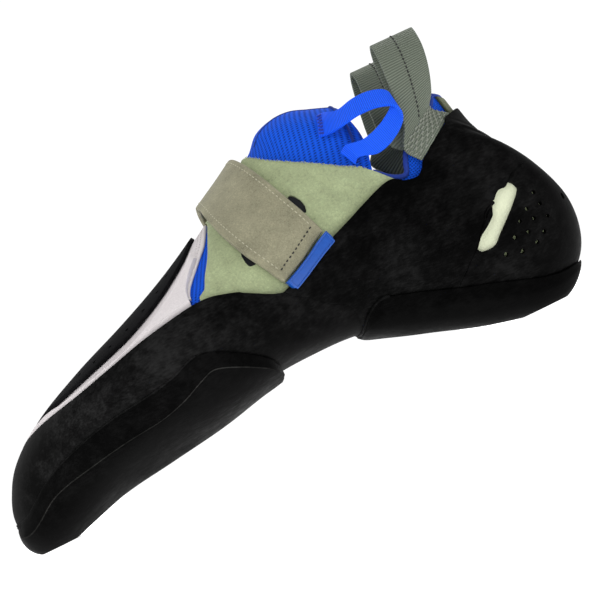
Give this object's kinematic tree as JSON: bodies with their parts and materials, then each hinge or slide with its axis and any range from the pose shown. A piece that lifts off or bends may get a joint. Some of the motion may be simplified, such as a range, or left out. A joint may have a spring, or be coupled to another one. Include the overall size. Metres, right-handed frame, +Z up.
{
  "type": "climbing shoe",
  "caption": "Low slip-on climbing shoe with one strap, downturned sole, rubber rand, toe patch and heel cup, and three ribbon pull loops.",
  "frame": {"origin": "middle of the shoe's box in plan, on the plane that the shoe stands on", "axes": "+X from toe to heel, +Y towards the inner (big toe) side, +Z up"},
  "size_m": [0.243, 0.0844, 0.1171],
  "materials": {
    "microfibre": "matt napped microfibre, pale grey at the toe and olive suede at the sides",
    "mesh": "knitted blue mesh",
    "board": "dark woven lining",
    "rubber": "smooth black rubber, satin",
    "sole_rubber": "smooth black climbing rubber, satin",
    "suede": "matt olive grey suede",
    "blue_rubber": "moulded blue rubber, satin",
    "grey_webbing": "ribbed grey ribbon",
    "blue_webbing": "ribbed blue ribbon"
  },
  "bodies": {
    "root": {"upper": "microfibre", "tongue": "mesh", "insole": "board", "front_rand": "rubber", "rear_rand": "rubber", "heel_cup": "rubber", "toe_patch": "rubber", "forefoot_sole": "sole_rubber", "heel_sole": "sole_rubber", "strap": "suede", "strap_tab": "blue_rubber", "heel_loop_outer": "grey_webbing", "heel_loop_inner": "grey_webbing", "tongue_loop": "blue_webbing"}
  },
  "joints": []
}
